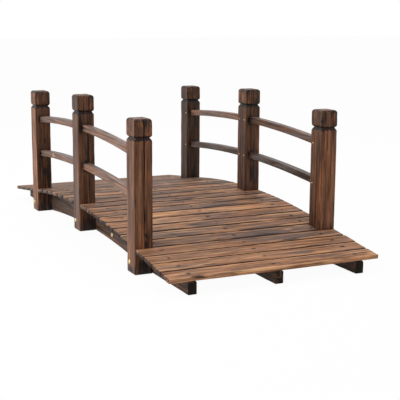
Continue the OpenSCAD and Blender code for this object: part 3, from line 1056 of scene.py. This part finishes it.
# marks: post, face, what shows, middle and half width across the face, middle and half height (mm), strength
postMarks = (
    ("left_front", "front", soot, 5, 9, 445, 38, 1.7),
    ("left_front", "front", soot, -8, 12, 340, 60, 0.35),
    ("left_front", "front", soot, 6, 9, 112, 11, 1.0),
    ("left_front", "front", soot, 5, 12, 88, 15, 1.0),
    # dark at the foot of the front: soot and painted shade under the deck
    ("left_front", "front", soot, 10, 36, 26, 62, 0.8),
    ("left_front", "left", grey, 10, 14, 205, 22, 0.9),
    ("left_front", "left", soot, 0, 28, 10, 14, 0.9),
    ("left_middle", "left", grey, -6, 20, 200, 200, 0.7),
    ("left_middle", "front", soot, 2, 9, 250, 90, 0.8),
    ("left_middle", "front", soot, -20, 8, 352, 34, 1.0),
    # dark at the feet of the fronts: soot and painted shade under the deck
    ("left_middle", "front", soot, 6, 36, 24, 60, 0.8),
    ("left_rear", "front", soot, 4, 36, 20, 60, 0.7),
    ("left_rear", "front", soot, 6, 30, 130, 75, 0.6),
    ("left_rear", "front", soot, 4, 7, 262, 16, 0.9),
    ("left_rear", "front", soot, 2, 9, 150, 18, 0.9),
    # the right front post's arris: rubbed wood and a painted highlight along it
    ("right_front", "left", rubbedAndHighlight, 29, 3, 245, 48, 1.9),
    ("right_front", "front", rubbedAndHighlight, -27, 2.5, 245, 48, 1.8),
    ("right_front", "left", rubbedAndHighlight, 27, 4, 165, 70, 0.8),
    ("right_front", "front", rubbedAndHighlight, -25, 4, 165, 70, 0.7),
    ("right_front", "left", soot, -14, 8, 130, 30, 0.8),
    ("right_front", "left", soot, -6, 18, 95, 36, 0.6),
    ("right_front", "front", soot, -4, 27, 72, 62, 0.65),
    ("right_front", "front", soot, 6, 6, 350, 60, 0.8),
    ("right_front", "front", soot, 6, 6, 425, 24, 1.1),
    ("right_front", "front", soot, -14, 5, 420, 26, 0.9),
    ("right_middle", "front", soot, 4, 14, 150, 60, 0.9),
    ("right_rear", "front", soot, 0, 11, 85, 70, 1.0),
)
faceWays = {"front": Vector((1, 0, 0)), "rear": Vector((-1, 0, 0)), "left": Vector((0, -1, 0)),
            "right": Vector((0, 1, 0))}
# tone of each post's front and rear, of its sides, and the same two of its cap: the wood's own tone with
# painted light, sheen and shade, face by face
postTonesAndLight = {
    "left_front": (1.12, 1.4, 0.7, 1.2),
    "left_middle": (0.86, 0.78, 0.82, 0.36),
    "left_rear": (0.55, 2.1, 0.58, 1.15),
    "right_front": (1.32, 0.95, 0.72, 0.62),
    "right_middle": (0.8, 0.62, 0.6, 0.6),
    "right_rear": (0.34, 0.48, 0.52, 0.5),
}


def postProfile(length):  # height and inset of each ring, from foot to top, in mm
    looks = postLooks
    neck = length - looks["capHeight"]
    shoulder = neck - looks["shoulder"]
    capRound, depth, steps = looks["capRound"], looks["grooveDepth"], looks["roundSteps"]
    rows = [(0.0, looks["footEase"]), (looks["footEase"], 0.0)]
    count = round(shoulder / looks["ringStep"])
    rows += [(shoulder * i / count, 0.0) for i in range(1, count + 1)]
    for i in range(1, looks["shoulderSteps"] + 1):
        share = i / looks["shoulderSteps"]
        rows.append((shoulder + looks["shoulder"] * share, depth * share ** looks["shoulderCurve"]))
    rows.append((neck + looks["grooveFlat"], depth))
    start = math.acos((capRound - depth) / capRound)  # where the cap's round grows out of the neck
    capFoot = neck + looks["grooveFlat"] - capRound * (1 - math.sin(start))
    for i in range(1, steps + 1):
        angle = start * (1 - i / steps)
        rows.append((capFoot + capRound * (1 - math.sin(angle)), capRound * (1 - math.cos(angle))))
    foot = rows[-1][0]
    side = length - capRound - foot
    rows += [(foot + side * i / steps, 0.0) for i in range(1, steps + 1)]
    for i in range(1, steps + 1):
        angle = math.radians(90 * i / steps)
        rows.append((length - capRound * (1 - math.sin(angle)), capRound * (1 - math.cos(angle))))
    rows += [(length, inset) for inset in looks["topInsets"]]
    return rows


def faceSpot(spot, face):  # distance across a face
    return spot.y if face in ("front", "rear") else spot.x


def checkShare(check, across, height, seed):  # 1 in the middle of a drying check, 0 beside it
    _, _, offset, bottom, top, _, half = check
    (slowFar, slowLong), (quickFar, quickLong) = checkLooks["slow"], checkLooks["quick"]
    wander = slowFar * noise.noise(Vector((height / slowLong, seed, offset)))
    wander += quickFar * noise.noise(Vector((height / quickLong, seed, checkLooks["quickLane"])))
    below, above = checkLooks["fade"]
    fade = smooth(height, bottom, bottom + below) * (1 - smooth(height, top, top + above))
    return fade * math.exp(-((across - offset - wander) / half) ** 2)


def railWay(rail, x):  # 1 if the rail lies in front of x, -1 if behind
    return 1 if rail["start"] + rail["end"] > 2 * x else -1


def cutPockets(mesh, joined):  # a mortise for each rail's end
    gap, steps = postLooks["pocketGap"] * mm, postLooks["pocketSteps"]
    body = bpy.data.objects.new("body", mesh)
    bpy.context.scene.collection.objects.link(body)
    cutters = []
    for rail in joined:
        hub = Vector((0, rail["y"], rail["hub"]))
        start, length = rail["start"] - gap, rail["end"] - rail["start"] + 2 * gap
        halfY, halfZ = rail["half"].y + gap, rail["half"].z + gap
        rings = []
        for step in range(steps + 1):
            angle = (start + length * step / steps) / rail["radius"]
            out = Vector((math.sin(angle), 0, math.cos(angle)))
            rings.append([hub + out * (rail["radius"] + b * halfZ) + Vector((0, a * halfY, 0))
                          for a, b in quarters])
        cutter = bpy.data.objects.new("cutter", loftMesh("cutter", rings, postFir))
        bpy.context.scene.collection.objects.link(cutter)
        cut = body.modifiers.new("pocket", "BOOLEAN")
        cut.operation = "DIFFERENCE"
        cut.solver = "EXACT"
        cut.object = cutter
        cutters.append(cutter)
    graph = bpy.context.evaluated_depsgraph_get()
    result = bpy.data.meshes.new_from_object(body.evaluated_get(graph))
    body.modifiers.clear()
    for used in [body] + cutters:
        bpy.data.objects.remove(used)
    return result


def postRings(length, halfX, halfY, foot, checks, seed):  # sections, worn and cracked
    looks = postLooks
    ridgeWide, ridgeLong, ridgeShift = looks["ridge"]
    biteWide, biteLong, biteShift = looks["bite"]
    rings = []
    for height, inset in postProfile(length):
        ring = []
        sizes = (halfX - inset, halfY - inset)
        for spot, way in ringPoints(*sizes, looks["edge"], looks["sidePoints"], looks["sidePoints"]):
            ridge = noise.noise(Vector((spot.x / ridgeWide, spot.y / ridgeWide,
                                        height / ridgeLong + seed * ridgeShift)))
            bite = noise.noise(Vector((spot.x / biteWide, spot.y / biteWide,
                                       height / biteLong + seed * biteShift)))
            inward = looks["grain"] * (0.5 + 0.5 * ridge) - looks["swell"]
            inward += looks["wear"] * cornerShare(spot, *sizes, looks["wearBand"]) * smooth(bite, *wornFrom)
            for check in checks:
                if way.to_3d().dot(faceWays[check[1]]) > checkLooks["flatTurn"]:
                    inward += check[5] * checkShare(check, faceSpot(spot, check[1]), height, seed)
            place = Vector((spot.x, spot.y, height)) - way.to_3d() * inward
            ring.append(foot + place * mm)
        rings.append(ring)
    return rings


def standPost(key, seed, joined):
    looks, finish = postLooks, postFinish
    node = f"post_{key}"
    low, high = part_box(node)
    middle = Vector(((low.x + high.x) / 2, (low.y + high.y) / 2, low.z))
    halfX, halfY = (high.x - low.x) / 2 / mm, (high.y - low.y) / 2 / mm
    length = (high.z - low.z) / mm
    checks = [check for check in postChecks if check[0] == key]
    marks = [mark[1:] for mark in postMarks if mark[0] == key]
    mesh = loftMesh(f"{node}_skin", postRings(length, halfX, halfY, middle, checks, seed), postFir)
    mesh = cutPockets(mesh, joined)
    frontToneAndLight, sideToneAndLight, capFrontToneAndLight, capSideToneAndLight = postTonesAndLight[key]

    def finishAt(place, normal):
        spot = (place - middle) / mm
        fromGroove = spot.z - length + looks["capHeight"]
        # tone by face: the wood's own tone with painted light and shade
        onSide = smooth(abs(normal.y), *finish["sideTurn"])
        tone = frontToneAndLight + (sideToneAndLight - frontToneAndLight) * onSide
        capToneAndLight = capFrontToneAndLight + (capSideToneAndLight - capFrontToneAndLight) * onSide
        tone += (capToneAndLight - tone) * smooth(fromGroove, *finish["capToneAndLight"])
        shown = [0.0, finish["film"], 0.0]
        begins, ends = finish["grooveBands"]
        shown[soot] += finish["grooveSoot"] * smooth(fromGroove, *begins) * (1 - smooth(fromGroove, *ends))
        # darker at the foot: soot and painted shade under the deck
        shown[soot] += sum(most * (1 - smooth(spot.z, *band)) for most, band in finish["footSootAndShade"])
        edge = cornerShare(spot, halfX, halfY, *finish["edgeBand"])
        # rubbed wood and a painted highlight on the upright arrises
        shown[rubbedAndHighlight] += finish["edgeRubAndHighlight"] * edge * broken(place, seed, *finish["edgeRubAndHighlightBlots"])
        shown[soot] += finish["edgeSoot"] * edge * broken(place, seed, *finish["edgeSootBlots"])
        onCap = smooth(fromGroove, *finish["onCap"])
        band, clear = finish["rimBand"]
        rimX = smooth(abs(spot.x), halfX - band, halfX - clear)
        rimY = smooth(abs(spot.y), halfY - band, halfY - clear)
        band, clear = finish["rimTop"]
        rimTop = smooth(spot.z, length - band, length - clear)
        arris = max(finish["rimUpright"] * rimX * rimY, rimX * rimTop, rimY * rimTop) * onCap
        shown[soot] += arris * broken(place, seed, *finish["rimBlots"])
        shown[soot] += finish["freckles"] * onCap * broken(place, seed, *finish["freckleBlots"])
        capRub = finish["capRub"] * capToneAndLight * onCap * (1 - arris)
        shown[rubbedAndHighlight] += capRub * broken(place, seed, *finish["capRubBlots"])
        for rail in joined:
            if normal.x * railWay(rail, middle.x) > finish["mortiseTurn"]:
                above = abs(place.z - rail["heightAt"](place.x)) / mm - rail["half"].z / mm
                beside = abs(spot.y) - rail["half"].y / mm
                darkened = 1 - smooth(max(above, beside, 0.0), *finish["mortiseBand"])
                shown[soot] += finish["mortiseSoot"] * darkened * dappled(place, seed, finish["mortiseBlots"])
        for check in checks:
            if normal.dot(faceWays[check[1]]) > finish["checkTurn"]:
                shown[soot] += checkLooks["soot"] * checkShare(check, faceSpot(spot, check[1]), spot.z, seed)
        for face, kind, acrossMid, acrossHalf, heightMid, heightHalf, strength in marks:
            if normal.dot(faceWays[face]) > finish["markTurn"]:
                shown[kind] += strength * blot(faceSpot(spot, face), spot.z, acrossMid, heightMid,
                                               acrossHalf, heightHalf)
        return (*shown, tone)

    paint(mesh, seed, finishAt)
    addPiece(pieceName("post", key), mesh, node)
    return low, high, middle


boltPlaces, screwPlaces = [], []
for order, key in enumerate(postTonesAndLight):
    side, station = key.split("_")
    joined = [rail for railKey, rail in rails.items() if railKey.split("_")[1] == side
              and (station == "middle" or railKey.endswith(station))]
    low, high, middle = standPost(key, postLooks["firstSeed"] + order, joined)
    outward = -1 if side == "left" else 1
    outerY, innerY = (low.y, high.y) if side == "left" else (high.y, low.y)
    boltX, boltZ = middle.x - postLooks["boltBack"] * mm, low.z + postLooks["boltHeight"] * mm
    boltPlaces.append((Vector((boltX, outerY, boltZ)), Vector((0, outward, 0))))
    for rail in joined:  # one screw through the post's inner face into each rail's end
        x = middle.x + railWay(rail, middle.x) * postLooks["screwOffset"] * mm
        screwPlaces.append((Vector((x, innerY, rail["heightAt"](x))), Vector((0, -outward, 0))))
print("posts stood:", len(postTonesAndLight))


# stringers and cross ties

stringerLooks = {
    "edge": 1.8,  # mm, as all sizes here
    "grain": 0.5,
    "ridge": (170, 4.6, 3.3),  # length and width of raised grain, and how each seed shifts it
    "wear": 1.2,
    "wearBand": 5,
    "biteLength": 36,
    "step": 9.0,
    "endSteps": (0.0, 0.8, 2.0, 4.5),  # rings near an end, from there
    "endRound": 1.2,
    "sidePoints": (8, 16),  # across and up
    "levelFrom": 0.5,  # a face whose normal points up or down this far belongs to the top or bottom line
    "firstSeed": 71.0,
    "nearEndSoot": (0.4, 1, 30),  # how much, and where from an end it starts to fade and is gone
    "endBand": (0.5, 2),
    # faces that look down darker: painted shade
    "undersideShade": 0.3,
}
# tone, grey film and soot on the ends
stringerFinish = {"left": (0.88, 0.5, 0.9), "centre": (0.95, 0.3, 0.2), "right": (0.8, 0.3, 0.9)}
stringerWays = {"left": -1, "centre": 0, "right": 1}


def outlineHeights(mesh, way):  # corners of the top or bottom line of a stringer
    spots = {}
    for face in mesh.polygons:
        if face.normal.z * way > stringerLooks["levelFrom"]:
            for index in face.vertices:
                spot = mesh.vertices[index].co
                spots[round(spot.x, 5)] = spot.z
    return sorted(spots.items())


def heightOn(line, x):
    for (x0, z0), (x1, z1) in zip(line, line[1:]):
        if x0 <= x <= x1:
            return z0 + (z1 - z0) * (x - x0) / max(x1 - x0, 1e-9)
    return line[0][1] if x < line[0][0] else line[-1][1]


def layStringer(key, seed):
    looks = stringerLooks
    node = f"stringer_{key}"
    low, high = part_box(node)
    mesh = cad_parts[node].data
    topLine, footLine = outlineHeights(mesh, 1), outlineHeights(mesh, -1)
    middleY, halfY = (low.y + high.y) / 2, (high.y - low.y) / 2 / mm
    count = round((high.x - low.x) / mm / looks["step"])
    stations = [low.x + step * mm for step in looks["endSteps"]]
    stations += [low.x + (high.x - low.x) * i / count for i in range(1, count)]
    stations += [high.x - step * mm for step in looks["endSteps"][::-1]]
    ridgeLong, ridgeWide, ridgeShift = looks["ridge"]
    rings = []
    for x in stations:
        top, foot = heightOn(topLine, x), heightOn(footLine, x)
        halfZ = (top - foot) / 2 / mm
        eased = max(looks["endRound"] - min(x - low.x, high.x - x) / mm, 0.0)
        ring = []
        for spot, way in ringPoints(halfY - eased, halfZ - eased, looks["edge"], *looks["sidePoints"]):
            place = Vector((x / mm, spot.x, spot.y))
            ridge = noise.noise(Vector((place.x / ridgeLong, place.y / ridgeWide,
                                        (place.z + halfZ) / ridgeWide + seed * ridgeShift)))
            bite = noise.noise(Vector((place.x / looks["biteLength"], place.y, seed)))
            corner = cornerShare(spot, halfY, halfZ, looks["wearBand"])
            inward = looks["grain"] * (0.5 + 0.5 * ridge) + looks["wear"] * corner * smooth(bite, *wornFrom)
            spot = spot - way * inward
            ring.append(Vector((x, middleY + spot.x * mm, (top + foot) / 2 + spot.y * mm)))
        rings.append(ring)
    skin = loftMesh(f"{node}_skin", rings, stringerFir)
    tone, film, endSoot = stringerFinish[key]
    nearEndSoot, *nearEndBand = looks["nearEndSoot"]

    def finishAt(place, normal):
        toEnd = min(place.x - low.x, high.x - place.x) / mm
        # charred near the ends, and painted shade on faces that look down
        darkened = nearEndSoot * (1 - smooth(toEnd, *nearEndBand)) + looks["undersideShade"] * max(-normal.z, 0.0)
        darkened += endSoot * (1 - smooth(toEnd, *looks["endBand"]))
        return darkened, film, 0.0, tone

    paint(skin, seed, finishAt)
    addPiece(pieceName("stringer", key), skin, node)
    return low, high


tieLow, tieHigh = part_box("cross_tie_front")
tieX, tieZ = (tieLow.x + tieHigh.x) / 2, (tieLow.z + tieHigh.z) / 2
for order, (key, outward) in enumerate(stringerWays.items()):
    low, high = layStringer(key, stringerLooks["firstSeed"] + order)
    if outward:  # bolts into the cross ties
        outerY = low.y if outward < 0 else high.y
        boltPlaces += [(Vector((x, outerY, tieZ)), Vector((0, outward, 0))) for x in (tieX, -tieX)]

tieLooks = {
    "edge": 1.6,  # mm
    "corner": 1.6,
    "wear": 0.9,
    "grain": 0.4,
    "rings": 40,
    "step": 3.0,
    "firstSeed": 81.0,
    "finish": (0.2, 0.1, 0.0, 0.9),  # soot, grey film, rubbed wood and tone, the same all over
}


def fitTie(bay, seed):  # two lengths, either side of the centre stringer
    node = f"cross_tie_{bay}"
    low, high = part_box(node)
    centreLow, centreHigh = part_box("stringer_centre")
    name = pieceName("crossTie", bay)
    form = bmesh.new()
    for ends in ((low.y, centreLow.y), (centreHigh.y, high.y)):
        form.from_mesh(sawnBar(name, tieLooks, tieFir, seed, ends, (high.x - low.x, high.z - low.z),
                               ((low.x + high.x) / 2, 0.0, (low.z + high.z) / 2), (0.0, 0.0, math.pi / 2)))
    mesh = bpy.data.meshes.new(name)
    form.to_mesh(mesh)
    form.free()
    mesh.materials.append(tieFir)
    paint(mesh, seed, lambda place, normal: tieLooks["finish"])
    addPiece(name, mesh, node)


for order, bay in enumerate(("rear", "front")):
    fitTie(bay, tieLooks["firstSeed"] + order)
print("stringers and ties fitted")


# fasteners

# heads: domed or not, sides, radius at the foot and at the top, height (mm)
headLooks = {
    "deckNails": (False, 10, 3.1, 2.5, 1.0),
    "frameBolts": (True, 16, 7.0, 0.0, 3.4),
    "railScrews": (True, 12, 2.9, 0.0, 1.3),
}


def driveHeads(name, places, metal):
    isDome, sides, foot, top, height = headLooks[name]
    points = bpy.data.meshes.new("points")
    points.from_pydata([place for place, way in places], [], [])
    ways = [value for place, way in places for value in way]
    points.attributes.new("facing", "FLOAT_VECTOR", "POINT").data.foreach_set("vector", ways)
    addPiece(name, grownMesh(name, headTree(name + "Tree", isDome), {
        "Sides": sides, "Foot Radius": foot * mm, "Top Radius": top * mm, "Height": height * mm,
        "Metal": metal}, points))


driveHeads("deckNails", nailPlaces, nailSteel)
driveHeads("frameBolts", boltPlaces, platedSteel)
driveHeads("railScrews", screwPlaces, platedSteel)
print("heads driven:", len(nailPlaces), len(boltPlaces), len(screwPlaces))
